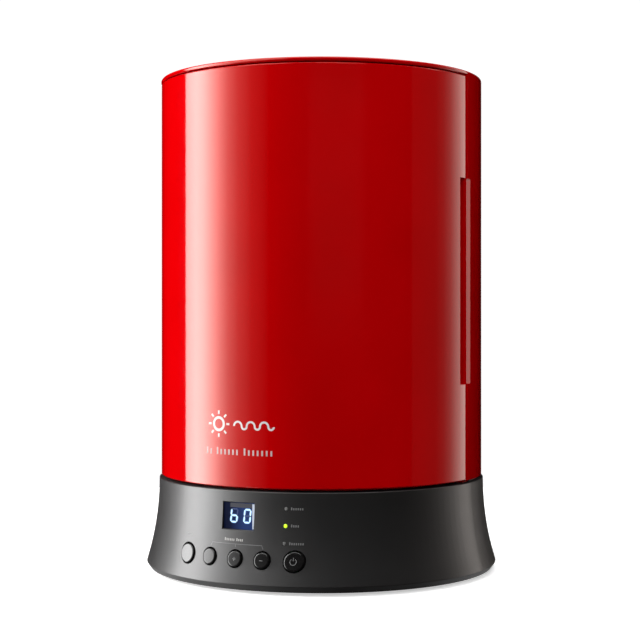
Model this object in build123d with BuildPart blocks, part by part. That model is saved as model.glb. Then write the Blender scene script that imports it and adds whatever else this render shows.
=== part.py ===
"""UV curing lamp: a drum with a hinged half-shell door, on a flared base with controls.

Millimetres. The origin is on the ground under the drum's axis, +Z is up and the
front faces -Y. A bearing is in degrees from the front, growing towards +X.
"""
import os
from math import cos, radians, sin, sqrt

from build123d import *

# Base
BASE_TOP_R = 111.4          # outside of the base where it meets the drum
BASE_R = 120.0              # widest radius, just above the bottom bevel
BASE_BEVEL_R = 117.2
BASE_TOP = 63.0
BASE_WIDE_Z = 5.8
BASE_BOTTOM = 2.0
LIP = 1.0                   # thin edge of the housing round the deck
LEDGE_INNER_R = 104.5
DECK_T = 3.0
DECK_UNDER = BASE_TOP - DECK_T
LEDGE_T = 3.0
INNER_TOP_R = 108.4         # inside of the housing just under the ledge
INNER_WIDE_R = 117.0
INNER_TOP = DECK_UNDER - LEDGE_T
PLATE_R = 114.0
PLATE_BOTTOM = 2.5
PLATE_TOP = 4.5
LEG_CIRCLE_R = 98.0
LEG_R = 4.5
FOOT_CIRCLE_R = 100.0
FOOT_R = 8.0
SCREW_R = 1.5

# Drum
DOOR_R = 110.0              # outside of the door
SHELL_R = 110.3             # outside of the rear shell and of the rim
INNER_R = 107.0             # inside of the door and of the rear shell
DRUM_BOTTOM = 64.8
DOOR_TOP = 330.5
RIM_BOTTOM = 331.2
TOTAL_H = 333.9
DOOR_HALF = 87.5            # bearing of the door's edges
SHELL_EDGE = 88.5           # bearing of the rear shell's edges
EDGE_ROUND = 0.7
RIM_ROUND = 1.2
CUT_SLACK = 0.2             # how far a cut reaches past the surface it trims
RIM_WEB_T = 2.6             # fixed ring under the rim, behind the door frame
SHELL_SCREW_R = 103.0
SHELL_SCREW_BEARINGS = (110, 140, 220, 250)
COVER_SEAT_R = 99.8
COVER_T = 1.2

# Door hinge and free edge
HINGE_BEARING = -85.5
HINGE_LUG_R = 4.6
PIN_R = 2.0
PIN_GAP = 0.05
FLANGE_R = 100.0            # inner radius of the door's end flanges
FLANGE_T = 3.0
NOTCH_BEARING = 83.7
NOTCH_BOTTOM = 128.2
NOTCH_TOP = 262.9
RAMP_END = 91.0
RAMP_DEPTH = 0.8
KEEPER_H = 10.0
KEEPER_BOTTOMS = (68.8, 316.1)
MAGNET_BOTTOM = 82.8

# Chamber
FRAME_INNER_R = 95.0
FRAME_ARC_R = 99.2
FRAME_POST_R = 106.8
FRAME_FRONT = 88.7
FRAME_BACK = 93.2
CEILING = 321.8
LINER_R = 97.0
SHEET = 0.8
STRIP_BEARINGS = (120, 160, 200, 240)
STRIP_BOTTOM = 77.8
STRIP_H = 232.0
LEDS_PER_STRIP = 4

# Turntable
TABLE_R = 80.0
TABLE_BOTTOM = 69.8
TABLE_TOP = 72.8
SHAFT_R = 3.5
MOTOR_R = 25.0
MOTOR_H = 20.0

# Control panel
WINDOW_W = 22.5
WINDOW_H = 16.8
WINDOW_X = 0.3
WINDOW_Z = 47.1
WINDOW_BEVEL = 0.4
WINDOW_RECESS = 2.0
WELL_DEPTH = 4.8
BUTTON_Z = 21.0
BUTTON_X = {"button_start": -38.4, "button_preset": -18.9, "button_plus": 0.5,
            "button_minus": 19.1, "button_power": 39.1}
BUTTON_HOLE_R = {"button_start": 6.9, "button_preset": 5.8, "button_plus": 5.8,
                 "button_minus": 5.8, "button_power": 6.9}
BUTTON_GAP = 0.9
BUTTON_ROUND = 0.9
BUTTON_PROUD = 1.3
BUTTON_FLANGE = 1.2
BUTTON_TRAVEL = 0.6
LAMP_X = 32.0
LAMP_Z = {"indicator_lens_upper": 52.9, "indicator_lens_middle": 42.4,
          "indicator_lens_lower": 31.6}
LAMP_R = 1.3
BOARD_FRONT = 90.0          # distance of the control board's face from the axis
BOARD_T = 1.6
SWITCH_TOP = 95.3           # distance of the switch plungers' tips from the axis
JACK_Z = 26.8
JACK_FLOOR = 111.0
MOTOR_EARS = (-33, 33)
SHAFT_TOP = 67.8
PIN_ROOT = 2.4              # depth of the hinge pins in the deck

# Values that follow
FLARE_DROP = BASE_TOP - BASE_WIDE_Z
FLARE_R = (FLARE_DROP ** 2 + (BASE_R - BASE_TOP_R) ** 2) / (2 * (BASE_R - BASE_TOP_R))
INNER_DROP = INNER_TOP - BASE_WIDE_Z
INNER_FLARE = INNER_WIDE_R - INNER_TOP_R
INNER_FLARE_R = (INNER_DROP ** 2 + INNER_FLARE ** 2) / (2 * INNER_FLARE)
CORNERS = (45, 135, 225, 315)


def spot(radius, bearing, height=0.0):
    """Point at a radius and a bearing round the drum's axis."""
    return (radius * sin(radians(bearing)), -radius * cos(radians(bearing)), height)


def outward_plane(radius, bearing, height):
    """Upright plane that faces outwards at a bearing, with its x axis level."""
    outward = Vector(*spot(1, bearing))
    level = Vector(*spot(1, bearing + 90))
    return Plane(origin=spot(radius, bearing, height), x_dir=level, z_dir=outward)


def panel_plane(distance):
    """Upright plane in front of the axis, facing the user."""
    return Plane.XZ.offset(distance)


def outer_wall(height):
    """Outer radius of the base at a height."""
    return BASE_TOP_R + FLARE_R - sqrt(FLARE_R ** 2 - (BASE_TOP - height) ** 2)


def inner_wall(height):
    """Inner radius of the base at a height."""
    return INNER_TOP_R + INNER_FLARE_R - sqrt(INNER_FLARE_R ** 2 - (INNER_TOP - height) ** 2)


def ring_sector(inner, outer, start, end):
    """Flat piece of a ring between two bearings."""
    with BuildSketch() as sector:
        with BuildLine():
            far = CenterArc((0, 0), outer, start - 90, end - start)
            near = CenterArc((0, 0), inner, start - 90, end - start)
            Line(far @ 0, near @ 0)
            Line(far @ 1, near @ 1)
        make_face()
    return sector.sketch


def save(piece, label):
    """Name a finished piece and write it to its own file."""
    piece.part.label = label
    export_step(piece.part, f"parts/{label}.step")


os.makedirs("parts", exist_ok=True)
hinge_spot = spot(INNER_R, HINGE_BEARING)

# ---------------------------------------------------------------- base

with BuildPart() as base_housing:
    with BuildSketch(Plane.XZ):
        with BuildLine():
            TangentArc((BASE_TOP_R, BASE_TOP), (BASE_R, BASE_WIDE_Z), tangent=(0, -1))
            Polyline(
                (BASE_R, BASE_WIDE_Z),
                (BASE_BEVEL_R, BASE_BOTTOM),
                (BASE_BEVEL_R - 2.8, BASE_BOTTOM),
                (INNER_WIDE_R, BASE_WIDE_Z),
            )
            TangentArc((INNER_TOP_R, INNER_TOP), (INNER_WIDE_R, BASE_WIDE_Z), tangent=(0, -1))
            Polyline(
                (INNER_TOP_R, INNER_TOP),
                (LEDGE_INNER_R, INNER_TOP),
                (LEDGE_INNER_R, DECK_UNDER),
                (BASE_TOP_R - LIP, DECK_UNDER),
                (BASE_TOP_R - LIP, BASE_TOP),
                (BASE_TOP_R, BASE_TOP),
            )
        make_face()
    revolve(axis=Axis.Z)
    rounded = base_housing.edges().filter_by(GeomType.CIRCLE).group_by(SortBy.LENGTH)[-1]
    fillet(rounded, radius=0.8)
    top_edges = base_housing.edges().group_by(Axis.Z)[-1]
    fillet(top_edges.sort_by(SortBy.LENGTH)[-1], radius=0.45)
    # Well behind the display's window, cut through the wall.
    window_front = outer_wall(WINDOW_Z)
    with BuildSketch(panel_plane(window_front - WELL_DEPTH)):
        with Locations((WINDOW_X, WINDOW_Z)):
            Rectangle(WINDOW_W + 3, WINDOW_H + 3)
    extrude(amount=WELL_DEPTH - 2)
    with BuildSketch(panel_plane(window_front - 8)):
        with Locations((WINDOW_X, WINDOW_Z)):
            Rectangle(WINDOW_W, WINDOW_H)
    extrude(amount=12, mode=Mode.SUBTRACT)
    # Bevel round the window's mouth.
    mouth = base_housing.edges().filter_by_position(
        Axis.Y, -window_front - 1, 1.5 - window_front
    ).filter_by_position(Axis.X, -WINDOW_W, WINDOW_W)
    chamfer(mouth, length=WINDOW_BEVEL)
    # Holes for the buttons and the three indicators.
    for name, button_x in BUTTON_X.items():
        with BuildSketch(panel_plane(BOARD_FRONT)):
            with Locations((button_x, BUTTON_Z)):
                Circle(BUTTON_HOLE_R[name])
        extrude(amount=40, mode=Mode.SUBTRACT)
    with BuildSketch(panel_plane(BOARD_FRONT)):
        with Locations(*[(LAMP_X, lamp_z) for lamp_z in LAMP_Z.values()]):
            Circle(LAMP_R)
    extrude(amount=40, mode=Mode.SUBTRACT)
    # Boss and recess for the power inlet at the rear.
    with BuildSketch(outward_plane(JACK_FLOOR - 3, 180, JACK_Z)):
        RectangleRounded(20, 20, 3)
    extrude(amount=5.0)
    with BuildSketch(outward_plane(JACK_FLOOR, 180, JACK_Z)):
        Circle(8)
    extrude(amount=10, mode=Mode.SUBTRACT)
    with BuildSketch(outward_plane(JACK_FLOOR - 5, 180, JACK_Z)):
        Circle(5.5)
    extrude(amount=10, mode=Mode.SUBTRACT)
save(base_housing, "base_housing")

with BuildPart() as base_deck:
    with BuildSketch(Plane.XY.offset(DECK_UNDER)):
        Circle(BASE_TOP_R - LIP - 0.3)
    extrude(amount=DECK_T)
    # Seat for the rear half of the drum.
    with BuildSketch(Plane.XY.offset(BASE_TOP)):
        add(ring_sector(98.5, 107.5, FRAME_BACK + 0.3, 360 - FRAME_BACK - 0.3))
    extrude(amount=DRUM_BOTTOM - BASE_TOP)
    # Legs that stand on the bottom plate.
    with BuildSketch(Plane.XY.offset(DECK_UNDER)):
        with Locations(*[spot(LEG_CIRCLE_R, corner)[:2] for corner in CORNERS]):
            Circle(LEG_R)
    extrude(amount=PLATE_TOP - DECK_UNDER)
    with BuildSketch(Plane.XY.offset(PLATE_TOP)):
        with Locations(*[spot(LEG_CIRCLE_R, corner)[:2] for corner in CORNERS]):
            Circle(SCREW_R)
    extrude(amount=10, mode=Mode.SUBTRACT)
    # Motor hub, motor screws, rear shell screws, wiring hole and hinge pin.
    with Locations((0, 0, BASE_TOP)):
        Hole(8, depth=DECK_T)
    with BuildSketch(Plane.XY.offset(DECK_UNDER)):
        with Locations(*[(ear, 0) for ear in MOTOR_EARS]):
            Circle(SCREW_R)
        with Locations(*[spot(SHELL_SCREW_R, bearing)[:2] for bearing in SHELL_SCREW_BEARINGS]):
            Circle(SCREW_R)
        with Locations((0, 101)):
            Circle(2.2)
    extrude(amount=DECK_T + 2, mode=Mode.SUBTRACT)
    with BuildSketch(Plane.XY.offset(BASE_TOP)):
        with Locations(hinge_spot[:2]):
            Circle(PIN_R + PIN_GAP)
    extrude(amount=-PIN_ROOT - 0.2, mode=Mode.SUBTRACT)
save(base_deck, "base_deck")

with BuildPart() as bottom_plate:
    with BuildSketch(Plane.XY.offset(PLATE_BOTTOM)):
        Circle(PLATE_R)
        with PolarLocations(62, 12):
            SlotOverall(26, 4, mode=Mode.SUBTRACT)
        with PolarLocations(34, 8):
            SlotOverall(20, 4, mode=Mode.SUBTRACT)
        with Locations(*[spot(LEG_CIRCLE_R, corner)[:2] for corner in CORNERS]):
            Circle(SCREW_R, mode=Mode.SUBTRACT)
    extrude(amount=PLATE_TOP - PLATE_BOTTOM)
save(bottom_plate, "bottom_plate")

with BuildPart() as rubber_feet:
    with BuildSketch():
        with Locations(*[spot(FOOT_CIRCLE_R, quarter)[:2] for quarter in (0, 90, 180, 270)]):
            Circle(FOOT_R)
    extrude(amount=PLATE_BOTTOM, taper=2)
save(rubber_feet, "rubber_feet")

with BuildPart() as bottom_plate_screws:
    for corner in CORNERS:
        with BuildSketch(Plane.XY.offset(PLATE_BOTTOM - 1.4)):
            with Locations(spot(LEG_CIRCLE_R, corner)[:2]):
                Circle(2.8)
                RegularPolygon(1.2, 6, mode=Mode.SUBTRACT)
        extrude(amount=1.4)
        with BuildSketch(Plane.XY.offset(PLATE_BOTTOM - 0.4)):
            with Locations(spot(LEG_CIRCLE_R, corner)[:2]):
                Circle(SCREW_R)
        extrude(amount=9)
save(bottom_plate_screws, "bottom_plate_screws")

# ---------------------------------------------------------------- control panel

with BuildPart() as display_window:
    with BuildSketch(panel_plane(window_front - WINDOW_RECESS - 1.4)):
        with Locations((WINDOW_X, WINDOW_Z)):
            Rectangle(WINDOW_W, WINDOW_H)
    extrude(amount=1.4)
save(display_window, "display_window")

with BuildPart() as display_module:
    module_front = window_front - WINDOW_RECESS - 1.4
    with BuildSketch(panel_plane(module_front - 8)):
        with Locations((WINDOW_X, WINDOW_Z)):
            Rectangle(WINDOW_W - 0.6, WINDOW_H - 0.6)
    extrude(amount=8)
    with BuildSketch(panel_plane(BOARD_FRONT)):
        with Locations((WINDOW_X, WINDOW_Z)):
            Rectangle(17, 13)
    extrude(amount=module_front - 8 - BOARD_FRONT)
save(display_module, "display_module")

for name, lamp_z in LAMP_Z.items():
    with BuildPart() as lens:
        with BuildSketch(panel_plane(BOARD_FRONT + 1.8)):
            with Locations((LAMP_X, lamp_z)):
                Circle(LAMP_R - 0.05)
        lens_front = sqrt(outer_wall(lamp_z) ** 2 - LAMP_X ** 2) + 0.1
        extrude(amount=lens_front - BOARD_FRONT - 1.8)
        fillet(lens.faces().sort_by(Axis.Y)[0].edges(), radius=0.5)
    save(lens, name)

with BuildPart() as indicator_leds:
    with BuildSketch(panel_plane(BOARD_FRONT)):
        with Locations(*[(LAMP_X, lamp_z) for lamp_z in LAMP_Z.values()]):
            Rectangle(3.2, 2.8)
    extrude(amount=1.8)
save(indicator_leds, "indicator_leds")

with BuildPart() as control_board:
    with BuildSketch(panel_plane(BOARD_FRONT)):
        with Locations((0, 32.8)):
            RectangleRounded(96, 50, 2)
    extrude(amount=-BOARD_T)
save(control_board, "control_board")

with BuildPart() as tact_switches:
    for button_x in BUTTON_X.values():
        with BuildSketch(panel_plane(BOARD_FRONT)):
            with Locations((button_x, BUTTON_Z)):
                Rectangle(6, 6)
        extrude(amount=SWITCH_TOP - 1 - BOARD_FRONT)
        with BuildSketch(panel_plane(SWITCH_TOP - 1)):
            with Locations((button_x, BUTTON_Z)):
                Circle(1.7)
        extrude(amount=1)
save(tact_switches, "tact_switches")

with BuildPart() as board_brackets:
    for side in (-1, 1):
        with BuildSketch(Plane.YZ.offset(side * 36 - 5)):
            with BuildLine():
                Polyline(
                    (-BOARD_FRONT + BOARD_T, PLATE_TOP),
                    (-BOARD_FRONT + BOARD_T, 24),
                    (-BOARD_FRONT + BOARD_T + 2.5, 24),
                    (-BOARD_FRONT + BOARD_T + 4.5, PLATE_TOP + 2.5),
                    (-BOARD_FRONT + BOARD_T + 12, PLATE_TOP + 2.5),
                    (-BOARD_FRONT + BOARD_T + 12, PLATE_TOP),
                    close=True,
                )
            make_face()
        extrude(amount=10)
save(board_brackets, "board_brackets")

# Solid of revolution that the button caps' faces follow.
with BuildPart() as cap_limit:
    with BuildSketch(Plane.XZ):
        with BuildLine():
            TangentArc(
                (BASE_TOP_R + BUTTON_PROUD, BASE_TOP),
                (BASE_R + BUTTON_PROUD, BASE_WIDE_Z),
                tangent=(0, -1),
            )
            Polyline(
                (BASE_R + BUTTON_PROUD, BASE_WIDE_Z),
                (0, BASE_WIDE_Z),
                (0, BASE_TOP),
                (BASE_TOP_R + BUTTON_PROUD, BASE_TOP),
            )
        make_face()
    revolve(axis=Axis.Z)

for name, button_x in BUTTON_X.items():
    flange_r = BUTTON_HOLE_R[name] + 1.0
    clear_wall = inner_wall(BUTTON_Z + flange_r)
    flange_front = sqrt(clear_wall ** 2 - (abs(button_x) + flange_r) ** 2) - 0.6
    stem_tip = SWITCH_TOP + BUTTON_TRAVEL + 0.3
    with BuildPart() as button:
        with BuildSketch(panel_plane(flange_front)):
            with Locations((button_x, BUTTON_Z)):
                Circle(BUTTON_HOLE_R[name] - BUTTON_GAP)
        extrude(amount=40)
        add(cap_limit.part, mode=Mode.INTERSECT)
        fillet(button.faces().sort_by(Axis.Y)[0].edges(), radius=BUTTON_ROUND)
        with BuildSketch(panel_plane(flange_front - BUTTON_FLANGE)):
            with Locations((button_x, BUTTON_Z)):
                Circle(flange_r)
        extrude(amount=BUTTON_FLANGE)
        with BuildSketch(panel_plane(stem_tip)):
            with Locations((button_x, BUTTON_Z)):
                Circle(2)
        extrude(amount=flange_front - BUTTON_FLANGE - stem_tip)
    save(button, name)

# ---------------------------------------------------------------- electrics in the base

DRIVER_Y = 58.0
DRIVER_Z = 14.0

with BuildPart() as driver_board:
    with BuildSketch(Plane.XY.offset(DRIVER_Z)):
        with Locations((0, DRIVER_Y)):
            RectangleRounded(86, 48, 3)
    extrude(amount=BOARD_T)
save(driver_board, "driver_board")

with BuildPart() as board_standoffs:
    with BuildSketch(Plane.XY.offset(PLATE_TOP)):
        with Locations((0, DRIVER_Y)):
            with GridLocations(76, 38, 2, 2):
                Circle(3)
    extrude(amount=DRIVER_Z - PLATE_TOP)
save(board_standoffs, "board_standoffs")

with BuildPart() as driver_components:
    with BuildSketch(Plane.XY.offset(DRIVER_Z + BOARD_T)):
        with Locations((-22, DRIVER_Y + 6), (-22, DRIVER_Y - 10)):
            Circle(5)
    extrude(amount=14)
    with BuildSketch(Plane.XY.offset(DRIVER_Z + BOARD_T)):
        with Locations((0, DRIVER_Y), (18, DRIVER_Y)):
            RectangleRounded(12, 12, 2)
    extrude(amount=8)
    with BuildSketch(Plane.XY.offset(DRIVER_Z + BOARD_T)):
        with Locations((10, DRIVER_Y + 16), (10, DRIVER_Y - 16)):
            Rectangle(20, 7)
    extrude(amount=9)
save(driver_components, "driver_components")

with BuildPart() as dc_jack:
    with BuildSketch(outward_plane(JACK_FLOOR - 14, 180, JACK_Z)):
        Circle(5.4)
    extrude(amount=14)
    with BuildSketch(outward_plane(JACK_FLOOR, 180, JACK_Z)):
        Circle(7.2)
    extrude(amount=1.5)
    with BuildSketch(outward_plane(JACK_FLOOR - 3, 180, JACK_Z)):
        RegularPolygon(8, 6)
    extrude(amount=-2.5)
    with BuildSketch(outward_plane(JACK_FLOOR + 1.5, 180, JACK_Z)):
        Circle(2.85)
        Circle(1.0, mode=Mode.SUBTRACT)
    extrude(amount=-9.5, mode=Mode.SUBTRACT)
save(dc_jack, "dc_jack")

with BuildPart() as turntable_motor:
    with BuildSketch(Plane.XY.offset(DECK_UNDER - MOTOR_H)):
        Circle(MOTOR_R)
    extrude(amount=MOTOR_H)
    with BuildSketch(Plane.XY.offset(DECK_UNDER - 1.2)):
        SlotOverall(78, 12)
        with Locations(*[(ear, 0) for ear in MOTOR_EARS]):
            Circle(SCREW_R, mode=Mode.SUBTRACT)
    extrude(amount=1.2)
    with BuildSketch(Plane.XY.offset(DECK_UNDER)):
        Circle(SHAFT_R + PIN_GAP)
    extrude(amount=-8, mode=Mode.SUBTRACT)
save(turntable_motor, "turntable_motor")

with BuildPart() as motor_screws:
    for ear in MOTOR_EARS:
        with BuildSketch(Plane.XY.offset(DECK_UNDER - 3)):
            with Locations((ear, 0)):
                Circle(2.8)
        extrude(amount=1.8)
        with BuildSketch(Plane.XY.offset(DECK_UNDER - 1.2)):
            with Locations((ear, 0)):
                Circle(SCREW_R)
        extrude(amount=1.2 + DECK_T)
save(motor_screws, "motor_screws")

with BuildPart() as shaft_bush:
    for bottom, height, bush_r in ((DECK_UNDER, DECK_T, 8), (BASE_TOP, 1.4, 11)):
        with BuildSketch(Plane.XY.offset(bottom)):
            Circle(bush_r)
            Circle(SHAFT_R + PIN_GAP, mode=Mode.SUBTRACT)
        extrude(amount=height)
save(shaft_bush, "shaft_bush")

# ---------------------------------------------------------------- drum, fixed half

with BuildPart() as rear_shell:
    with BuildSketch(Plane.XY.offset(DRUM_BOTTOM)):
        add(ring_sector(INNER_R, SHELL_R, SHELL_EDGE, 360 - SHELL_EDGE))
    extrude(amount=RIM_BOTTOM - DRUM_BOTTOM)
    with BuildSketch(Plane.XY.offset(RIM_BOTTOM)):
        Circle(SHELL_R)
        Circle(FRAME_INNER_R, mode=Mode.SUBTRACT)
    extrude(amount=TOTAL_H - RIM_BOTTOM)
    # Web under the rim, behind the door frame.
    with BuildSketch(Plane.XY.offset(RIM_BOTTOM - RIM_WEB_T)):
        add(ring_sector(98.5, INNER_R + 1, FRAME_BACK + 0.3, 360 - FRAME_BACK - 0.3))
    extrude(amount=3)
    # Screw bosses on the drum's seat.
    with BuildSketch(Plane.XY.offset(DRUM_BOTTOM)):
        with Locations(*[spot(SHELL_SCREW_R, bearing)[:2] for bearing in SHELL_SCREW_BEARINGS]):
            Circle(4.5)
            Circle(SCREW_R, mode=Mode.SUBTRACT)
    extrude(amount=14)
    # Finger ramp on the edge beside the grip.
    with BuildSketch(Plane.XY.offset(NOTCH_BOTTOM)):
        with BuildLine():
            Polyline(
                spot(SHELL_R, RAMP_END)[:2],
                spot(SHELL_R - RAMP_DEPTH, SHELL_EDGE)[:2],
                spot(SHELL_R - RAMP_DEPTH, SHELL_EDGE - 1)[:2],
                spot(SHELL_R + 2, SHELL_EDGE - 1)[:2],
                spot(SHELL_R + 2, RAMP_END)[:2],
                close=True,
            )
        make_face()
    extrude(amount=NOTCH_TOP - NOTCH_BOTTOM, mode=Mode.SUBTRACT)
    # Seat of the top cover and bore of the upper hinge pin.
    with BuildSketch(Plane.XY.offset(TOTAL_H)):
        Circle(COVER_SEAT_R)
    extrude(amount=-COVER_T, mode=Mode.SUBTRACT)
    with BuildSketch(Plane.XY.offset(RIM_BOTTOM)):
        with Locations(hinge_spot[:2]):
            Circle(PIN_R + PIN_GAP)
    extrude(amount=1.4, mode=Mode.SUBTRACT)
    # Full round on the rim's outside: a fillet on top and a cut over the door.
    rim_edge = rear_shell.edges().group_by(Axis.Z)[-1].sort_by(SortBy.LENGTH)[-1]
    fillet(rim_edge, radius=RIM_ROUND)
    with BuildSketch(Plane((0, 0, 0), x_dir=spot(1, -SHELL_EDGE), z_dir=spot(1, -SHELL_EDGE - 90))):
        with BuildLine():
            round_start = (SHELL_R - RIM_ROUND, RIM_BOTTOM)
            round_end = (SHELL_R, RIM_BOTTOM + RIM_ROUND)
            TangentArc(round_start, round_end, tangent=(1, 0))
            Polyline(
                round_end,
                (SHELL_R + CUT_SLACK, RIM_BOTTOM + RIM_ROUND),
                (SHELL_R + CUT_SLACK, RIM_BOTTOM - CUT_SLACK),
                (SHELL_R - RIM_ROUND, RIM_BOTTOM - CUT_SLACK),
                round_start,
            )
        make_face()
    revolve(axis=Axis.Z, revolution_arc=2 * SHELL_EDGE, mode=Mode.SUBTRACT)
save(rear_shell, "rear_shell")

with BuildPart() as top_cover:
    with BuildSketch(Plane.XY.offset(TOTAL_H - COVER_T)):
        Circle(COVER_SEAT_R - 0.3)
    extrude(amount=COVER_T)
    fillet(top_cover.edges().group_by(Axis.Z)[-1], radius=0.4)
    with BuildSketch(Plane.XY.offset(TOTAL_H - COVER_T)):
        Circle(FRAME_INNER_R - 0.3)
    extrude(amount=-2)
    with BuildSketch(Plane.XY.offset(CEILING + SHEET)):
        with PolarLocations(60, 3):
            Circle(4)
    extrude(amount=TOTAL_H - 3 - CEILING - SHEET)
save(top_cover, "top_cover")

with BuildPart() as door_frame:
    for side in (1, -1):
        with BuildSketch(Plane.XY.offset(BASE_TOP)):
            post = ring_sector(FRAME_INNER_R, FRAME_POST_R, FRAME_FRONT, FRAME_BACK)
            add(post if side == 1 else mirror(post, about=Plane.YZ, mode=Mode.PRIVATE))
        extrude(amount=RIM_BOTTOM - BASE_TOP)
    for bottom, top in ((BASE_TOP, DRUM_BOTTOM + FLANGE_T), (CEILING, RIM_BOTTOM)):
        with BuildSketch(Plane.XY.offset(bottom)):
            add(ring_sector(FRAME_INNER_R, FRAME_ARC_R, -FRAME_FRONT, FRAME_FRONT))
        extrude(amount=top - bottom)
    # Pockets for the catch magnets and the reed switch.
    for bottom in KEEPER_BOTTOMS:
        with BuildSketch(Plane.XY.offset(bottom)):
            add(ring_sector(101.5, 106.0, FRAME_FRONT - 0.5, FRAME_FRONT + 1.5))
        extrude(amount=KEEPER_H, mode=Mode.SUBTRACT)
    with BuildSketch(Plane.XY.offset(MAGNET_BOTTOM - 3)):
        add(ring_sector(102.0, 105.5, FRAME_FRONT - 0.5, FRAME_FRONT + 1.7))
    extrude(amount=14, mode=Mode.SUBTRACT)
save(door_frame, "door_frame")

with BuildPart() as catch_magnets:
    for bottom in KEEPER_BOTTOMS:
        with BuildSketch(Plane.XY.offset(bottom)):
            add(ring_sector(101.5, 106.0, FRAME_FRONT, FRAME_FRONT + 1.5))
        extrude(amount=KEEPER_H)
save(catch_magnets, "catch_magnets")

with BuildPart() as reed_switch:
    with BuildSketch(Plane.XY.offset(MAGNET_BOTTOM - 3)):
        add(ring_sector(102.0, 105.5, FRAME_FRONT, FRAME_FRONT + 1.7))
    extrude(amount=14)
save(reed_switch, "reed_switch")

with BuildPart() as door_seals:
    for bottom in (DRUM_BOTTOM, DOOR_TOP - FLANGE_T):
        with BuildSketch(Plane.XY.offset(bottom)):
            add(ring_sector(FRAME_ARC_R, FLANGE_R - 0.3, -72, 72))
        extrude(amount=FLANGE_T)
save(door_seals, "door_seals")

with BuildPart() as grip_pocket:
    with BuildSketch(Plane.XY.offset(NOTCH_BOTTOM - 2)):
        add(ring_sector(LINER_R, FRAME_POST_R - 0.3, 76, FRAME_FRONT))
    extrude(amount=NOTCH_TOP - NOTCH_BOTTOM + 4)
    with BuildSketch(Plane.XY.offset(NOTCH_BOTTOM)):
        add(ring_sector(LINER_R + 1.5, FRAME_POST_R + 1, 77, FRAME_FRONT + 0.5))
    extrude(amount=NOTCH_TOP - NOTCH_BOTTOM, mode=Mode.SUBTRACT)
save(grip_pocket, "grip_pocket")

with BuildPart() as shell_screws:
    for bearing in SHELL_SCREW_BEARINGS:
        with BuildSketch(Plane.XY.offset(DECK_UNDER - 2)):
            with Locations(spot(SHELL_SCREW_R, bearing)[:2]):
                Circle(1.45)
        extrude(amount=12)
save(shell_screws, "shell_screws")

# ---------------------------------------------------------------- chamber linings and lamps

with BuildPart() as chamber_liner:
    with BuildSketch(Plane.XY.offset(BASE_TOP)):
        add(ring_sector(LINER_R, LINER_R + SHEET, FRAME_BACK + 0.2, 360 - FRAME_BACK - 0.2))
    extrude(amount=CEILING - BASE_TOP)
save(chamber_liner, "chamber_liner")

with BuildPart() as ceiling_reflector:
    with BuildSketch(Plane.XY.offset(CEILING)):
        Circle(FRAME_INNER_R - 0.5)
    extrude(amount=SHEET)
save(ceiling_reflector, "ceiling_reflector")

with BuildPart() as floor_reflector:
    with BuildSketch(Plane.XY.offset(BASE_TOP)):
        Circle(FRAME_INNER_R - 0.5)
        Circle(16, mode=Mode.SUBTRACT)
    extrude(amount=SHEET)
save(floor_reflector, "floor_reflector")

with BuildPart() as heat_spreaders:
    for bearing in STRIP_BEARINGS:
        with BuildSketch(Plane.XY.offset(STRIP_BOTTOM)):
            add(ring_sector(LINER_R + SHEET, 101, bearing - 4, bearing + 4))
        extrude(amount=STRIP_H)
save(heat_spreaders, "heat_spreaders")

with BuildPart() as uv_boards:
    for bearing in STRIP_BEARINGS:
        with BuildSketch(outward_plane(95.0, bearing, STRIP_BOTTOM + STRIP_H / 2)):
            Rectangle(12, STRIP_H)
        extrude(amount=BOARD_T)
save(uv_boards, "uv_boards")

with BuildPart() as uv_leds:
    for bearing in STRIP_BEARINGS:
        with BuildSketch(outward_plane(95.0, bearing, STRIP_BOTTOM + STRIP_H / 2)):
            with GridLocations(1, STRIP_H / LEDS_PER_STRIP, 1, LEDS_PER_STRIP):
                Rectangle(5, 5)
        extrude(amount=-1.2)
save(uv_leds, "uv_leds")

# ---------------------------------------------------------------- door

with BuildPart() as door_shell:
    with BuildSketch(Plane.XY.offset(DRUM_BOTTOM)):
        add(ring_sector(INNER_R, DOOR_R, -DOOR_HALF, DOOR_HALF))
    extrude(amount=DOOR_TOP - DRUM_BOTTOM)
    # Cut-back for the fingers in the free edge.
    with BuildSketch(Plane.XY.offset(NOTCH_BOTTOM)):
        add(ring_sector(INNER_R - 1, DOOR_R + 1, NOTCH_BEARING, DOOR_HALF + 1))
    extrude(amount=NOTCH_TOP - NOTCH_BOTTOM, mode=Mode.SUBTRACT)
    outside = door_shell.faces().filter_by(GeomType.CYLINDER).sort_by(SortBy.AREA)[-1]
    fillet(outside.edges(), radius=EDGE_ROUND)
    # End flanges, hinge lugs and brackets for the keeper plates.
    for bottom in (DRUM_BOTTOM, DOOR_TOP - FLANGE_T):
        with BuildSketch(Plane.XY.offset(bottom)):
            add(ring_sector(FLANGE_R, INNER_R + 1, -78, 86))
            with Locations(hinge_spot[:2]):
                Circle(HINGE_LUG_R)
            Circle(DOOR_R - EDGE_ROUND, mode=Mode.INTERSECT)
        extrude(amount=FLANGE_T)
        with BuildSketch(Plane.XY.offset(bottom)):
            with Locations(hinge_spot[:2]):
                Circle(PIN_R)
        extrude(amount=FLANGE_T, mode=Mode.SUBTRACT)
    for bottom, top in ((DRUM_BOTTOM, MAGNET_BOTTOM + 9), (KEEPER_BOTTOMS[1] - 1, DOOR_TOP)):
        with BuildSketch(Plane.XY.offset(bottom)):
            add(ring_sector(101, INNER_R + 1, 82, DOOR_HALF - 0.3))
        extrude(amount=top - bottom)
    with BuildSketch(Plane.XY.offset(MAGNET_BOTTOM)):
        add(ring_sector(102.0, 105.0, DOOR_HALF - 2, DOOR_HALF))
    extrude(amount=6, mode=Mode.SUBTRACT)
save(door_shell, "door_shell")

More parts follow.
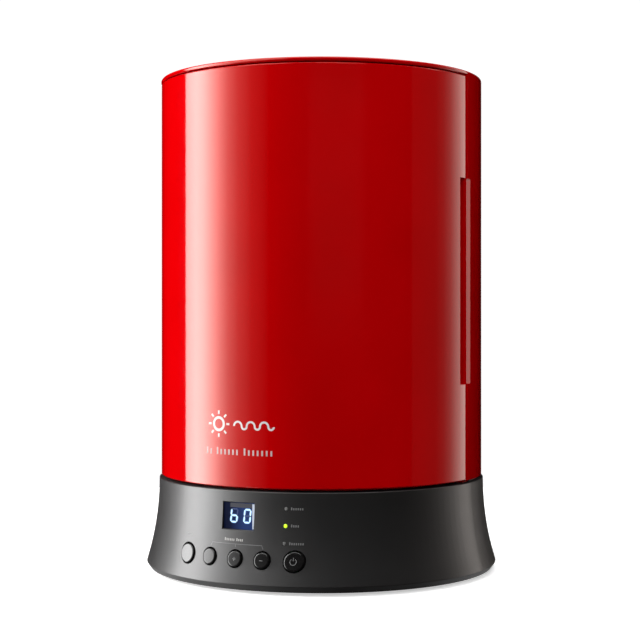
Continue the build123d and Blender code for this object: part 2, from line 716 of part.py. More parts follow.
with BuildPart() as keeper_plates:
    for bottom in KEEPER_BOTTOMS:
        with BuildSketch(Plane.XY.offset(bottom)):
            add(ring_sector(101.5, 106.0, DOOR_HALF - 0.3, DOOR_HALF + 0.7))
        extrude(amount=KEEPER_H)
save(keeper_plates, "keeper_plates")

with BuildPart() as sensor_magnet:
    with BuildSketch(Plane.XY.offset(MAGNET_BOTTOM)):
        add(ring_sector(102.0, 105.0, DOOR_HALF - 2, DOOR_HALF - 0.3))
    extrude(amount=6)
save(sensor_magnet, "sensor_magnet")

with BuildPart() as hinge_pins:
    for bottom, top in (
        (BASE_TOP - PIN_ROOT, DRUM_BOTTOM + FLANGE_T),
        (DOOR_TOP - FLANGE_T, RIM_BOTTOM + 1.2),
    ):
        with BuildSketch(Plane.XY.offset(bottom)):
            with Locations(hinge_spot[:2]):
                Circle(PIN_R)
        extrude(amount=top - bottom)
save(hinge_pins, "hinge_pins")

with BuildPart() as hinge_washer:
    with BuildSketch(Plane.XY.offset(BASE_TOP + 0.3)):
        with Locations(hinge_spot[:2]):
            Circle(3.0)
            Circle(PIN_R, mode=Mode.SUBTRACT)
    extrude(amount=DRUM_BOTTOM - BASE_TOP - 0.3)
save(hinge_washer, "hinge_washer")

with BuildPart() as door_liner:
    with BuildSketch(Plane.XY.offset(DRUM_BOTTOM + FLANGE_T)):
        add(ring_sector(FLANGE_R, FLANGE_R + SHEET, -72, 72))
    extrude(amount=DOOR_TOP - DRUM_BOTTOM - 2 * FLANGE_T)
save(door_liner, "door_liner")

# ---------------------------------------------------------------- turntable

with BuildPart() as motor_shaft:
    with BuildSketch(Plane.XY.offset(DECK_UNDER - 7.8)):
        Circle(SHAFT_R)
    extrude(amount=SHAFT_TOP - DECK_UNDER + 7.8)
save(motor_shaft, "motor_shaft")

with BuildPart() as drive_hub:
    with BuildSketch(Plane.XY.offset(BASE_TOP + 2)):
        Circle(14)
    extrude(amount=TABLE_BOTTOM - BASE_TOP - 2)
    with BuildSketch(Plane.XY.offset(TABLE_BOTTOM)):
        Rectangle(10, 10)
    extrude(amount=1.5)
    with BuildSketch(Plane.XY.offset(BASE_TOP + 2)):
        Circle(SHAFT_R)
    extrude(amount=SHAFT_TOP - BASE_TOP - 2, mode=Mode.SUBTRACT)
save(drive_hub, "drive_hub")

with BuildPart() as turntable_plate:
    with BuildSketch(Plane.XY.offset(TABLE_BOTTOM)):
        Circle(TABLE_R)
    extrude(amount=TABLE_TOP - TABLE_BOTTOM)
    with BuildSketch(Plane.XY.offset(TABLE_TOP)):
        Circle(TABLE_R)
        Circle(TABLE_R - 2, mode=Mode.SUBTRACT)
    extrude(amount=1.2)
    for groove_r in (15, 30, 45, 60):
        with BuildSketch(Plane.XY.offset(TABLE_TOP)):
            Circle(groove_r + 0.5)
            Circle(groove_r - 0.5, mode=Mode.SUBTRACT)
        extrude(amount=-0.5, mode=Mode.SUBTRACT)
    with BuildSketch(Plane.XY.offset(TABLE_BOTTOM)):
        Rectangle(10, 10)
    extrude(amount=1.5, mode=Mode.SUBTRACT)
save(turntable_plate, "turntable_plate")
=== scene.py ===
"""UV curing lamp: materials, printed marks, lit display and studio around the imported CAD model.

Metres, in the model's frame: +Z up, the front faces -Y. A bearing is in degrees from
the front, growing towards +X, and the camera looks from CAMERA_BEARING.
"""
from math import atan2, cos, pi, radians, sin, tan

import bpy
import bmesh
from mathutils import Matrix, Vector
from mathutils.bvhtree import BVHTree


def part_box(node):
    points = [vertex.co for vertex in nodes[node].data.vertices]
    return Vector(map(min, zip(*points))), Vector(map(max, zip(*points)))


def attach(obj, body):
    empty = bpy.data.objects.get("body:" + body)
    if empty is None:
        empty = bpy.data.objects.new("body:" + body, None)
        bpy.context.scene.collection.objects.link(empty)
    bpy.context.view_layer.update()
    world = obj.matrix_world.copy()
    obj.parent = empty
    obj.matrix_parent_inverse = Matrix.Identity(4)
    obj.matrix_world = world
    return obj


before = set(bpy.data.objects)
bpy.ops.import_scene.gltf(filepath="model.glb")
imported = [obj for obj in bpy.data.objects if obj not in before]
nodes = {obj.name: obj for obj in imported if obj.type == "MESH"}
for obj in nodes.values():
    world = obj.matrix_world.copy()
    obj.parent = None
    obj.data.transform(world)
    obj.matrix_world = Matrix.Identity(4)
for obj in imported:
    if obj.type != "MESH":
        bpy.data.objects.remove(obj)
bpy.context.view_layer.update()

MM = 0.001

# Camera
CAMERA_BEARING = 28.0
CAMERA_DISTANCE = 1.044
CAMERA_HEIGHT = 0.1732
CAMERA_LENS = 84.7
SENSOR_WIDTH = 36
CAMERA_SHIFT_X = -0.002
CAMERA_SHIFT_Y = -0.0075

# Studio
AMBIENT = 0.092             # brightness of the surroundings for shading
BACKDROP = 1.05             # and as the camera sees them
FLOOR_R = 0.5
FLOOR_GLOW = 0.5
GLINT_R = 0.127             # table area that the base's bottom bevel mirrors
GLINT_LIFT = 0.1 * MM
GLINT_GLOW = 1.6
DISC_SEGMENTS = 96
BOX_DISTANCE = 1.6          # of the soft boxes that the paint mirrors, from the drum's axis
BOX_HEIGHT = 0.35
BOX_TALL = 2.4
HIGH_BOX_HEIGHT = 1.05      # above what the upright drum mirrors, so only the flared base shows it
HIGH_BOX_TALL = 0.6
FILL_DISTANCE = 1.3
FILL_SIZE = (0.9, 0.9)
FILL_AIM = 0.2              # height that the fill lights face

# Printed marks
PRINT_LIFT = 0.02 * MM      # gap between a surface and the ink on it
PRINT_T = 0.02 * MM
DOOR_PRINT_T = 0.03 * MM
DIGIT_W = 4.3 * MM
DIGIT_H = 8.1 * MM
DIGIT_LEAN = 0.10
BAR_W = 1.0 * MM
HALO_W = 1.8 * MM
UNLIT_W = 0.9 * MM
GLOW_LIFT = 0.03 * MM       # gap between the display's window and its lit shapes
GLOW_T = 0.03 * MM
BAR_RISE = 0.06 * MM
BAR_T = 0.05 * MM
# Painted highlight: width and depth of a pale self-lit strip standing for the lit right wall of the
# display's recess
PAINTED_EDGE_HIGHLIGHT_W = 1.5 * MM
PAINTED_EDGE_HIGHLIGHT_T = 0.4 * MM


def spot(radius, bearing, height=0.0):
    """Point at a radius and a bearing round the drum's axis."""
    return Vector((radius * sin(radians(bearing)), -radius * cos(radians(bearing)), height))


# ---------------------------------------------------------------- materials


def new_material(name):
    """Empty principled material: the material, its nodes' maker, its links and its shader."""
    material = bpy.data.materials.new(name)
    material.use_nodes = True
    tree = material.node_tree
    shader = tree.nodes["Principled BSDF"]
    return material, tree.nodes, tree.links, shader


def noise(made, links, scale, detail=2.0, stretch=(1, 1, 1)):
    """Noise in the object's own metres, stretched along its axes."""
    place = made.new("ShaderNodeTexCoord")
    fit = made.new("ShaderNodeMapping")
    fit.inputs["Scale"].default_value = stretch
    texture = made.new("ShaderNodeTexNoise")
    texture.inputs["Scale"].default_value = scale
    texture.inputs["Detail"].default_value = detail
    links.new(place.outputs["Object"], fit.inputs["Vector"])
    links.new(fit.outputs["Vector"], texture.inputs["Vector"])
    return texture.outputs["Fac"]


def ramp(made, links, source, low, high, start=0.3, end=0.7):
    """Colour ramp between two colours, driven by a value."""
    band = made.new("ShaderNodeValToRGB")
    band.color_ramp.elements[0].position = start
    band.color_ramp.elements[0].color = (*low, 1)
    band.color_ramp.elements[1].position = end
    band.color_ramp.elements[1].color = (*high, 1)
    links.new(source, band.inputs["Fac"])
    return band.outputs["Color"]


def spread(made, links, source, low, high):
    """Value mapped from 0..1 to a range."""
    remap = made.new("ShaderNodeMapRange")
    remap.inputs["To Min"].default_value = low
    remap.inputs["To Max"].default_value = high
    links.new(source, remap.inputs["Value"])
    return remap.outputs["Result"]


def bump(made, links, shader, source, height, strength=1.0):
    """Surface relief of a height in metres."""
    relief = made.new("ShaderNodeBump")
    relief.inputs["Distance"].default_value = height
    relief.inputs["Strength"].default_value = strength
    links.new(source, relief.inputs["Height"])
    links.new(relief.outputs["Normal"], shader.inputs["Normal"])


def surface(name, low, high, rough, grain, relief, metallic=0.0, specular=0.5):
    """Two-tone material with varied roughness and a fine relief."""
    material, made, links, shader = new_material(name)
    shader.inputs["Metallic"].default_value = metallic
    shader.inputs["Specular IOR Level"].default_value = specular
    fine = noise(made, links, grain, 3.0)
    broad = noise(made, links, grain / 12, 2.0)
    links.new(ramp(made, links, broad, low, high), shader.inputs["Base Color"])
    links.new(spread(made, links, broad, rough[0], rough[1]), shader.inputs["Roughness"])
    bump(made, links, shader, fine, relief)
    return material


def red_paint():
    """Deep red gloss paint with a trace of orange peel."""
    material, made, links, shader = new_material("red_paint")
    shader.inputs["IOR"].default_value = 1.5
    shader.inputs["Specular Tint"].default_value = (1.0, 0.80, 0.71, 1)
    tone = noise(made, links, 18, 2.0)
    colour = ramp(made, links, tone, (0.50, 0.0, 0.0008), (0.54, 0.0, 0.0012))
    links.new(colour, shader.inputs["Base Color"])
    gloss = noise(made, links, 60, 3.0)
    links.new(spread(made, links, gloss, 0.035, 0.075), shader.inputs["Roughness"])
    bump(made, links, shader, noise(made, links, 260, 1.0), 0.00002, 0.5)
    return material


def base_plastic():
    """Black moulded plastic with a fine spark-eroded grain."""
    material, made, links, shader = new_material("base_plastic")
    tone = noise(made, links, 25, 3.0)
    colour = ramp(made, links, tone, (0.0095, 0.0087, 0.0087), (0.0118, 0.0109, 0.0109))
    links.new(colour, shader.inputs["Base Color"])
    gloss = noise(made, links, 80, 3.0)
    links.new(spread(made, links, gloss, 0.44, 0.51), shader.inputs["Roughness"])
    shader.inputs["Coat Weight"].default_value = 0.37
    shader.inputs["Coat Roughness"].default_value = 0.25
    bump(made, links, shader, noise(made, links, 1000, 3.0), 0.00006, 0.7)
    return material


def cap_plastic():
    """Smooth black plastic of the button caps, glossier than the housing."""
    material, made, links, shader = new_material("cap_plastic")
    tone = noise(made, links, 120, 2.0)
    colour = ramp(made, links, tone, (0.006, 0.0055, 0.0055), (0.009, 0.0085, 0.0085))
    links.new(colour, shader.inputs["Base Color"])
    gloss = noise(made, links, 300, 3.0)
    links.new(spread(made, links, gloss, 0.18, 0.23), shader.inputs["Roughness"])
    bump(made, links, shader, noise(made, links, 900, 2.0), 0.00001, 0.4)
    return material


def glow(name, colour, strength):
    """Self-lit plastic, a little uneven across its face; also used for painted highlight and
    painted shade on the display.
    """
    material, made, links, shader = new_material(name)
    shader.inputs["Base Color"].default_value = (*colour, 1)
    shader.inputs["Roughness"].default_value = 0.3
    shade = noise(made, links, 900, 1.0)
    dim = tuple(0.85 * c for c in colour)
    links.new(ramp(made, links, shade, dim, colour), shader.inputs["Emission Color"])
    shader.inputs["Emission Strength"].default_value = strength
    return material


def display_glass():
    """Smoked blue window, lit faintly from behind, with painted shade darkening its left side where
    the recess wall shades it.
    """
    material, made, links, shader = new_material("display_glass")
    shader.inputs["Base Color"].default_value = (0.004, 0.006, 0.02, 1)
    shader.inputs["Roughness"].default_value = 0.12
    shader.inputs["Specular IOR Level"].default_value = 0.06
    low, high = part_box("display_window")
    place = made.new("ShaderNodeTexCoord")
    split = made.new("ShaderNodeSeparateXYZ")
    across = made.new("ShaderNodeMapRange")
    across.inputs["From Min"].default_value = low.x
    across.inputs["From Max"].default_value = high.x
    links.new(place.outputs["Object"], split.inputs["Vector"])
    links.new(split.outputs["X"], across.inputs["Value"])
    # Painted shade: the self-lit colour runs from dim at the left, shaded by the recess wall, to
    # lit at the right.
    dim, lit = (0.0015, 0.003, 0.014), (0.016, 0.036, 0.125)
    tint = ramp(made, links, across.outputs["Result"], dim, lit, 0.2, 0.62)
    links.new(tint, shader.inputs["Emission Color"])
    shader.inputs["Emission Strength"].default_value = 1.0
    return material


def brushed(name, colour, rough, centre_ringed=False, metallic=1.0):
    """Brushed metal, with its lines along Z or, on a disc, in rings."""
    material, made, links, shader = new_material(name)
    shader.inputs["Metallic"].default_value = metallic
    if centre_ringed:
        place = made.new("ShaderNodeTexCoord")
        rings = made.new("ShaderNodeTexWave")
        rings.wave_type = "RINGS"
        rings.rings_direction = "Z"
        rings.inputs["Scale"].default_value = 420
        rings.inputs["Distortion"].default_value = 1.5
        rings.inputs["Detail"].default_value = 3.0
        links.new(place.outputs["Object"], rings.inputs["Vector"])
        lines = rings.outputs["Fac"]
    else:
        lines = noise(made, links, 700, 3.0, (1, 1, 0.02))
    dim = tuple(0.9 * c for c in colour)
    links.new(ramp(made, links, lines, dim, colour), shader.inputs["Base Color"])
    links.new(spread(made, links, lines, rough * 0.8, rough * 1.2), shader.inputs["Roughness"])
    bump(made, links, shader, lines, 0.000015, 0.5)
    return material


def chip_board(name, mask, track):
    """Circuit board with tracks under its solder mask."""
    material, made, links, shader = new_material(name)
    cells = made.new("ShaderNodeTexBrick")
    cells.inputs["Scale"].default_value = 160
    cells.inputs["Mortar Size"].default_value = 0.03
    cells.inputs["Color1"].default_value = (*mask, 1)
    cells.inputs["Color2"].default_value = (*[0.8 * c for c in mask], 1)
    cells.inputs["Mortar"].default_value = (*track, 1)
    place = made.new("ShaderNodeTexCoord")
    links.new(place.outputs["Object"], cells.inputs["Vector"])
    links.new(cells.outputs["Color"], shader.inputs["Base Color"])
    shader.inputs["Roughness"].default_value = 0.35
    bump(made, links, shader, cells.outputs["Fac"], 0.00004, 0.4)
    return material


def finish_nodes():
    """Give every CAD node its material."""
    red = red_paint()
    black = base_plastic()
    dark = surface(
        "dark_plastic", (0.010, 0.010, 0.010), (0.016, 0.015, 0.015), (0.5, 0.62), 1500, 0.00004)
    rubber = surface(
        "foot_rubber", (0.012, 0.012, 0.012), (0.02, 0.02, 0.02), (0.75, 0.9), 900, 0.0001,
        specular=0.3)
    steel = surface(
        "screw_steel", (0.50, 0.50, 0.51), (0.60, 0.60, 0.61), (0.25, 0.4), 900, 0.00002,
        metallic=1.0)
    nylon = surface(
        "white_nylon", (0.72, 0.70, 0.64), (0.78, 0.77, 0.72), (0.4, 0.5), 900, 0.00004)
    zinc = surface(
        "motor_zinc", (0.52, 0.53, 0.52), (0.66, 0.66, 0.64), (0.3, 0.45), 500, 0.00003,
        metallic=1.0)
    lens = surface(
        "lens_grey", (0.09, 0.09, 0.088), (0.12, 0.12, 0.115), (0.3, 0.4), 900, 0.00001)
    nickel = surface(
        "magnet_nickel", (0.62, 0.61, 0.58), (0.7, 0.69, 0.66), (0.12, 0.2), 600, 0.00001,
        metallic=1.0)
    part_grey = surface(
        "component_case", (0.03, 0.03, 0.035), (0.06, 0.06, 0.065), (0.3, 0.5), 700, 0.00003)
    uv_chip = surface(
        "uv_chip", (0.55, 0.50, 0.22), (0.70, 0.66, 0.35), (0.15, 0.25), 1200, 0.00002)
    mirror_sheet = brushed("reflector_sheet", (0.82, 0.83, 0.85), 0.3, metallic=0.7)
    spreader = brushed("spreader_aluminium", (0.66, 0.67, 0.69), 0.35)
    disc = brushed("turntable_aluminium", (0.74, 0.75, 0.77), 0.3, centre_ringed=True)
    green = chip_board("green_board", (0.01, 0.10, 0.035), (0.03, 0.20, 0.08))
    white = chip_board("white_board", (0.72, 0.72, 0.70), (0.55, 0.55, 0.52))
    chosen = {
        red: ("door_shell", "rear_shell", "top_cover", "grip_pocket", "door_frame"),
        black: ("base_housing",),
        cap_plastic(): ("button_start", "button_preset", "button_plus", "button_minus",
                        "button_power"),
        dark: ("base_deck", "bottom_plate", "display_module", "tact_switches", "dc_jack",
               "door_seals", "reed_switch", "hinge_washer"),
        rubber: ("rubber_feet",),
        steel: ("bottom_plate_screws", "board_brackets", "board_standoffs", "motor_screws",
                "shell_screws", "hinge_pins", "keeper_plates", "motor_shaft"),
        nylon: ("shaft_bush", "drive_hub", "indicator_leds"),
        zinc: ("turntable_motor",),
        lens: ("indicator_lens_upper", "indicator_lens_lower"),
        nickel: ("catch_magnets", "sensor_magnet"),
        part_grey: ("driver_components",),
        uv_chip: ("uv_leds",),
        mirror_sheet: ("chamber_liner", "door_liner", "ceiling_reflector", "floor_reflector"),
        spreader: ("heat_spreaders",),
        disc: ("turntable_plate",),
        green: ("control_board", "driver_board"),
        white: ("uv_boards",),
        glow("lit_lens", (0.52, 0.83, 0.02), 1.0): ("indicator_lens_middle",),
        display_glass(): ("display_window",),
    }
    for material, names in chosen.items():
        for name in names:
            slots = nodes[name].data.materials
            slots.clear()
            slots.append(material)


# ---------------------------------------------------------------- printed marks


def on_surface(name, lift):
    """Maps a point (x, z) in front of a node onto the node's face, lifted off it."""
    mesh = bmesh.new()
    mesh.from_mesh(nodes[name].data)
    tree = BVHTree.FromBMesh(mesh)

    def place(x, z, rise):
        hit = tree.ray_cast(Vector((x, -1, z)), Vector((0, 1, 0)))
        return hit[0] + hit[1] * (lift + rise)

    return place


def on_door(x, z, rise):
    """Maps a point, x along the door's curve from its middle, onto the door."""
    radius = -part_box("door_shell")[0].y
    return spot(radius + rise, x / radius * 180 / pi, z)


def line(start, end, width):
    """Straight ribbon: pairs of edge points."""
    (ax, az), (bx, bz) = start, end
    length = Vector((bx - ax, bz - az)).length
    across = Vector((-(bz - az), bx - ax)) / length * width / 2
    steps = max(1, round(length / MM))
    pairs = []
    for step in range(steps + 1):
        x = ax + (bx - ax) * step / steps
        z = az + (bz - az) * step / steps
        pairs.append(((x - across.x, z - across.y), (x + across.x, z + across.y)))
    return pairs


def arc(centre, radius, width, start=0.0, turn=360.0):
    """Curved ribbon round a centre: pairs of edge points."""
    steps = max(6, round(abs(turn) / 12))
    pairs = []
    for step in range(steps + 1):
        angle = radians(start + turn * step / steps)
        ray = (cos(angle), sin(angle))
        near, far = radius - width / 2, radius + width / 2
        pairs.append((
            (centre[0] + near * ray[0], centre[1] + near * ray[1]),
            (centre[0] + far * ray[0], centre[1] + far * ray[1]),
        ))
    return pairs


def stamp(name, ribbons, place, thickness, material, body):
    """Thin closed mesh of ribbons, laid on a surface by place()."""
    mesh = bmesh.new()
    for pairs in ribbons:
        rings = []
        for near, far in pairs:
            corners = ((near, 0), (far, 0), (far, thickness), (near, thickness))
            rings.append([mesh.verts.new(place(x, z, rise)) for (x, z), rise in corners])
        for ring, following in zip(rings, rings[1:]):
            for side in range(4):
                other = (side + 1) % 4
                mesh.faces.new((ring[side], ring[other], following[other], following[side]))
        mesh.faces.new(reversed(rings[0]))
        mesh.faces.new(rings[-1])
    bmesh.ops.remove_doubles(mesh, verts=mesh.verts, dist=1e-7)
    bmesh.ops.recalc_face_normals(mesh, faces=mesh.faces)
    data = bpy.data.meshes.new(name)
    mesh.to_mesh(data)
    piece = bpy.data.objects.new(name, data)
    bpy.context.scene.collection.objects.link(piece)
    data.materials.append(material)
    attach(piece, body)


def ink(name, tone):
    """Screen-printed ink with a slightly worn, uneven body."""
    low = tuple(0.8 * c for c in tone)
    return surface(name, low, tone, (0.5, 0.65), 1800, 0.00001)


def caption_marks(x, z, groups, pitch, height, width):
    """Row of small upright blocks in groups, where a caption stands; x is its left end."""
    marks = []
    for count in groups:
        for block in range(count):
            middle = x + block * pitch + width / 2
            tall = height * (1.0 if block else 1.3)
            marks.append(line((middle, z - height / 2), (middle, z - height / 2 + tall), width))
        x += (count + 0.8) * pitch
    return marks


def segment(start, end, width):
    """Lit bar of a digit with pointed ends."""
    pairs = line(start, end, width)
    ax, az = start
    bx, bz = end
    run = Vector((bx - ax, bz - az)).normalized() * width / 2
    first = ((ax - run.x, az - run.y), (ax - run.x, az - run.y))
    last = ((bx + run.x, bz + run.y), (bx + run.x, bz + run.y))
    return [first] + pairs + [last]


def digit(x, z, bars, thick):
    """Bars of a seven-bar digit around its centre, leaning to the right."""
    half_w, half_h = DIGIT_W / 2, DIGIT_H / 2
    gap = thick * 0.62
    ends = {
        "a": ((-half_w, half_h), (half_w, half_h)),
        "b": ((half_w, half_h), (half_w, 0)),
        "c": ((half_w, 0), (half_w, -half_h)),
        "d": ((-half_w, -half_h), (half_w, -half_h)),
        "e": ((-half_w, 0), (-half_w, -half_h)),
        "f": ((-half_w, half_h), (-half_w, 0)),
        "g": ((-half_w, 0), (half_w, 0)),
    }
    made = []
    for bar in bars:
        (ax, az), (bx, bz) = ends[bar]
        run = Vector((bx - ax, bz - az)).normalized() * gap
        start = (x + ax + run.x + DIGIT_LEAN * az, z + az + run.y)
        end = (x + bx - run.x + DIGIT_LEAN * bz, z + bz - run.y)
        made.append(segment(start, end, thick))
    return made


def display_marks():
    """Two lit digits, their dim bars, a painted highlight down the window's right edge and a
    painted shade band along its top.
    """
    low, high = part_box("display_window")
    middle = (low.z + high.z) / 2

    def place(x, z, rise):
        return Vector((x, low.y - GLOW_LIFT - rise, z))

    def place_bars(x, z, rise):
        return place(x, z, rise + BAR_RISE)

    digits = ((-3.5, "cdefg"), (6.1, "abcdef"))
    centre_z = middle + 0.1 * MM
    lit, halo, unlit = [], [], []
    for offset, bars in digits:
        x = offset * MM
        rest = [bar for bar in "abcdefg" if bar not in bars]
        lit += digit(x, centre_z, bars, BAR_W)
        halo += digit(x, centre_z, bars, HALO_W)
        unlit += digit(x, centre_z, rest, UNLIT_W)
    edge_x = high.x - 0.9 * MM
    # Painted highlight: a pale self-lit strip down the window's right side, standing for the recess
    # wall catching the light
    edge = [line((edge_x, low.z + 0.6 * MM), (edge_x, high.z - 0.6 * MM), PAINTED_EDGE_HIGHLIGHT_W)]
    # Painted shade: a dim grey self-lit band along the window's top, where its top wall shades it
    top_z = high.z - 1.8 * MM
    top = [line((low.x + 4.6 * MM, top_z), (edge_x - MM, top_z), 2.8 * MM)]
    pale = glow("edge_painted_highlight", (0.34, 0.38, 0.45), 0.6)
    lights = (
        ("display_bars_lit", lit, place_bars, BAR_T, glow("lit_bars", (0.56, 0.82, 1.0), 0.5)),
        ("display_bars_halo", halo, place, GLOW_T, glow("bar_halo", (0.05, 0.12, 0.28), 0.9)),
        ("display_bars_unlit", unlit, place, GLOW_T, glow("unlit_bars", (0.010, 0.025, 0.09), 0.8)),
        ("display_top_painted_shade", top, place, GLOW_T, glow("top_painted_shade", (0.015, 0.016, 0.026), 0.5)),
        ("display_edge_painted_highlight", edge, place, PAINTED_EDGE_HIGHLIGHT_T, pale),
    )
    for name, ribbons, where, thickness, material in lights:
        stamp(name, ribbons, where, thickness, material, "cabinet")


def panel_marks():
    """Captions, bracket and button symbols of the control panel."""
    place = on_surface("base_housing", PRINT_LIFT)
    pale = ink("panel_ink", (0.20, 0.20, 0.20))
    bright = ink("panel_ink_bright", (0.45, 0.44, 0.42))
    buttons = {name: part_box(name) for name in nodes if name.startswith("button_")}
    middles = {
        name: ((low.x + high.x) / 2, (low.z + high.z) / 2) for name, (low, high) in buttons.items()}
    row_z = middles["button_plus"][1]
    marks = []
    pitch, block_w = 1.3 * MM, 0.7 * MM
    for name, start, count in (
        ("indicator_lens_upper", 1.9, 6),
        ("indicator_lens_middle", 2.3, 4),
        ("indicator_lens_lower", 1.9, 7),
    ):
        low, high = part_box(name)
        left, middle_z = high.x + start * MM, (low.z + high.z) / 2
        marks += caption_marks(left, middle_z, (count,), pitch, 1.3 * MM, block_w)
    start_x = middles["button_start"][0] - 2.6 * MM
    marks += caption_marks(start_x, row_z + 11.6 * MM, (4,), pitch, 1.1 * MM, block_w)
    bar_z = row_z + 8.9 * MM
    left, right = middles["button_preset"][0], middles["button_minus"][0]
    thin = 0.25 * MM
    marks.append(line((left + MM, bar_z), (right - MM, bar_z), thin))
    marks.append(line((left + MM, bar_z), (left, bar_z - 2.2 * MM), thin))
    marks.append(line((0, bar_z), (0, bar_z - 2.0 * MM), thin))
    marks.append(line((right - MM, bar_z), (right, bar_z - 2.4 * MM), thin))
    heading = caption_marks(-8.3 * MM, row_z + 11.4 * MM, (6, 4), 1.27 * MM, 1.4 * MM, 0.75 * MM)
    stamp("panel_heading", heading, place, PRINT_T, bright, "cabinet")
    stamp("panel_print", marks, place, PRINT_T, pale, "cabinet")
    symbols = {
        "button_plus": lambda x, z: [line((x - 1.1 * MM, z), (x + 1.1 * MM, z), 0.4 * MM),
                                     line((x, z - 1.1 * MM), (x, z + 1.1 * MM), 0.4 * MM)],
        "button_minus": lambda x, z: [line((x - 1.1 * MM, z), (x + 1.1 * MM, z), 0.4 * MM)],
        "button_power": lambda x, z: [arc((x, z), 1.9 * MM, 0.4 * MM, 125, 290),
                                      line((x, z + 0.6 * MM), (x, z + 2.6 * MM), 0.45 * MM)],
    }
    for name, draw in symbols.items():
        x, z = middles[name]
        on_cap = on_surface(name, PRINT_LIFT)
        stamp(name + "_print", draw(x, z), on_cap, PRINT_T, pale, name)


def door_emblem():
    """Generic lamp sign: a ring with rays and a wave, over a row of blocks."""
    white = ink("emblem_ink", (0.80, 0.76, 0.75))
    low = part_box("door_shell")[0]
    centre = (-15.8 * MM, low.z + 39.6 * MM)
    marks = [arc(centre, 4.0 * MM, 1.7 * MM)]
    for ray in range(8):
        angle = radians(45 * ray)
        near, far = [
            (centre[0] + r * MM * cos(angle), centre[1] + r * MM * sin(angle)) for r in (6.1, 8.4)]
        marks.append(line(near, far, 1.3 * MM))
    for wave in range(3):
        x = (-1.0 + 9.2 * wave) * MM
        z = centre[1] - 1.0 * MM
        marks.append(arc((x, z), 2.8 * MM, 1.3 * MM, 180, -180))
        marks.append(arc((x + 4.6 * MM, z), 1.8 * MM, 1.3 * MM, 180, 180))
    caption = caption_marks(
        -26.0 * MM, low.z + 22.0 * MM, (2, 6, 7), 3.05 * MM, 3.4 * MM, 1.2 * MM)
    pink = ink("caption_ink", (0.62, 0.45, 0.44))
    stamp("door_caption", caption, on_door, DOOR_PRINT_T, pink, "door")
    stamp("door_emblem", marks, on_door, DOOR_PRINT_T, white, "door")


# ---------------------------------------------------------------- studio


def camera():
    """Level camera with a long lens, square on to the drum."""
    data = bpy.data.cameras.new("camera")
    data.lens = CAMERA_LENS
    data.sensor_width = SENSOR_WIDTH
    data.shift_x = CAMERA_SHIFT_X
    data.shift_y = CAMERA_SHIFT_Y
    eye = bpy.data.objects.new("camera", data)
    eye.location = spot(CAMERA_DISTANCE, CAMERA_BEARING, CAMERA_HEIGHT)
    eye.rotation_euler = (pi / 2, 0, radians(CAMERA_BEARING))
    bpy.context.scene.collection.objects.link(eye)
    bpy.context.scene.camera = eye


def soft_box(name, bearing, distance, height, size, power, tilt=0.0):
    """Rectangular light that faces the drum's axis, hidden from the camera."""
    data = bpy.data.lights.new(name, "AREA")
    data.shape = "RECTANGLE"
    data.size, data.size_y = size
    data.energy = power
    lamp = bpy.data.objects.new(name, data)
    lamp.location = spot(distance, bearing, height)
    lamp.rotation_euler = (pi / 2 - radians(tilt), 0, radians(bearing))
    lamp.visible_camera = False
    bpy.context.scene.collection.objects.link(lamp)
    return lamp


def fill_ramp(band, stops):
    """Set a colour ramp's greys from (position, brightness) pairs."""
    while len(band.elements) < len(stops):
        band.elements.new(0.5)
    for element, (position, share) in zip(band.elements, stops):
        element.position = position
        element.color = (share, share, share, 1)


def graded_box(name, height, tall, power, stops, tint=(1, 1, 1)):
    """Soft box that makes only reflections, its brightness graded across it.

    stops are (bearing, share of the full brightness). The box runs from the first to the last."""
    first, last = stops[0][0], stops[-1][0]
    middle = (first + last) / 2
    reach = BOX_DISTANCE * tan(radians((last - first) / 2))
    lamp = soft_box(name, middle, BOX_DISTANCE, height, (2 * reach, tall), power)
    lamp.visible_diffuse = False
    data = lamp.data
    data.color = tint
    data.use_nodes = True
    made, links = data.node_tree.nodes, data.node_tree.links
    where = made.new("ShaderNodeNewGeometry")
    split = made.new("ShaderNodeSeparateXYZ")
    grade = made.new("ShaderNodeValToRGB")
    links.new(where.outputs["Parametric"], split.inputs["Vector"])
    links.new(split.outputs["X"], grade.inputs["Fac"])
    fill_ramp(grade.color_ramp, [
        (0.5 + BOX_DISTANCE * tan(radians(bearing - middle)) / (2 * reach), share)
        for bearing, share in stops])
    links.new(grade.outputs["Color"], made["Emission"].inputs["Color"])


def fill_light(name, bearing, distance, height, size, power, mirrored=False):
    """Soft box for plain shading, aimed at the drum. Unless mirrored, no reflection shows it."""
    tilt = atan2(height - FILL_AIM, distance) * 180 / pi
    lamp = soft_box(name, bearing, distance, height, size, power, tilt)
    lamp.visible_glossy = mirrored


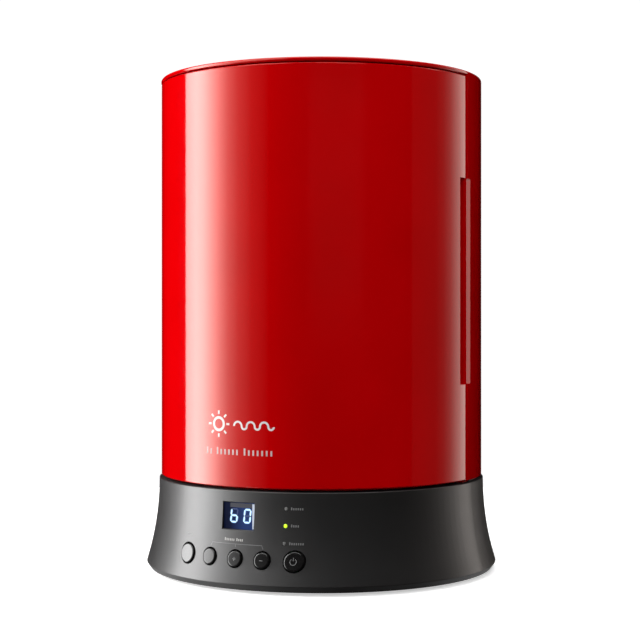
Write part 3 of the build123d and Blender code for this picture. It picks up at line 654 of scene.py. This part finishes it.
def glint_disc():
    """Part of the table that only the base's bottom bevel mirrors, brighter at both sides."""
    mesh = bmesh.new()
    bmesh.ops.create_circle(mesh, cap_ends=True, segments=DISC_SEGMENTS, radius=GLINT_R)
    data = bpy.data.meshes.new("floor_glint")
    mesh.to_mesh(data)
    disc = bpy.data.objects.new("floor_glint", data)
    disc.location.z = GLINT_LIFT
    disc.rotation_euler.z = radians(CAMERA_BEARING)
    bpy.context.scene.collection.objects.link(disc)
    material, made, links, shader = new_material("glint_paper")
    place = made.new("ShaderNodeTexCoord")
    split = made.new("ShaderNodeSeparateXYZ")
    across = made.new("ShaderNodeMapRange")
    across.inputs["From Min"].default_value = -GLINT_R
    across.inputs["From Max"].default_value = GLINT_R
    grade = made.new("ShaderNodeValToRGB")
    links.new(place.outputs["Object"], split.inputs["Vector"])
    links.new(split.outputs["X"], across.inputs["Value"])
    links.new(across.outputs["Result"], grade.inputs["Fac"])
    fill_ramp(grade.color_ramp, (
        (0.0, 0.15), (0.1, 0.48), (0.25, 0.42), (0.4, 0.13),
        (0.55, 0.03), (0.75, 0.08), (0.9, 0.26), (1.0, 0.1)))
    links.new(grade.outputs["Color"], shader.inputs["Emission Color"])
    shader.inputs["Emission Strength"].default_value = GLINT_GLOW
    shader.inputs["Base Color"].default_value = (0, 0, 0, 1)
    data.materials.append(material)
    disc.visible_camera = disc.visible_diffuse = disc.visible_shadow = False


def studio():
    """Pale round table, white surroundings and soft boxes left, right, in front and above."""
    mesh = bmesh.new()
    bmesh.ops.create_circle(mesh, cap_ends=True, segments=DISC_SEGMENTS, radius=FLOOR_R)
    data = bpy.data.meshes.new("floor")
    mesh.to_mesh(data)
    floor = bpy.data.objects.new("floor", data)
    bpy.context.scene.collection.objects.link(floor)
    paper = surface("floor_paper", (0.86, 0.86, 0.86), (0.88, 0.88, 0.88), (0.7, 0.8), 300, 0.00005)
    glowing = paper.node_tree.nodes["Principled BSDF"]
    glowing.inputs["Emission Color"].default_value = (1, 1, 1, 1)
    glowing.inputs["Emission Strength"].default_value = FLOOR_GLOW
    data.materials.append(paper)
    floor.visible_glossy = False
    floor.visible_diffuse = False

    glint_disc()

    world = bpy.data.worlds.new("world")
    bpy.context.scene.world = world
    world.use_nodes = True
    made, links = world.node_tree.nodes, world.node_tree.links
    made.remove(made["Background"])
    path = made.new("ShaderNodeLightPath")
    shown = None
    for ray, brightness in (("", 0.0), ("Is Diffuse Ray", AMBIENT), ("Is Camera Ray", BACKDROP)):
        sky = made.new("ShaderNodeBackground")
        sky.inputs["Color"].default_value = (1, 1, 1, 1)
        sky.inputs["Strength"].default_value = brightness
        if ray:
            choose = made.new("ShaderNodeMixShader")
            links.new(path.outputs[ray], choose.inputs["Fac"])
            links.new(shown, choose.inputs[1])
            links.new(sky.outputs["Background"], choose.inputs[2])
            shown = choose.outputs["Shader"]
        else:
            shown = sky.outputs["Background"]
    links.new(shown, made["World Output"].inputs["Surface"])

    graded_box("left_box", BOX_HEIGHT, BOX_TALL, 225, (
        (-80.8, 0.45), (-75.0, 0.72), (-67.0, 1.0), (-60.0, 0.98), (-52.0, 0.70), (-45.0, 0.42),
        (-38.0, 0.20), (-30.0, 0.08), (-20.0, 0.022), (-8.0, 0.002)))
    graded_box("right_box", BOX_HEIGHT, BOX_TALL, 28, (
        (92.0, 0.03), (113.0, 0.04), (121.0, 0.11), (128.0, 0.29), (135.0, 0.68), (141.0, 1.0),
        (150.5, 1.5)), (1.05, 0.97, 0.91))
    graded_box("high_box", HIGH_BOX_HEIGHT, HIGH_BOX_TALL, 19, (
        (-45.0, 0.3), (-20.0, 1.0), (5.0, 0.3)))
    fill_light("left_fill", -71, FILL_DISTANCE, 0.45, FILL_SIZE, 41.5)
    fill_light("front_fill", 38, FILL_DISTANCE, 0.6, FILL_SIZE, 8.2)
    fill_light("top_fill", 30, 0.1, 1.5, (1.6, 1.6), 24, mirrored=True)


def main():
    """Dress the model and light it."""
    bpy.context.scene.view_settings.view_transform = "Standard"
    finish_nodes()
    display_marks()
    panel_marks()
    door_emblem()
    camera()
    studio()


main()
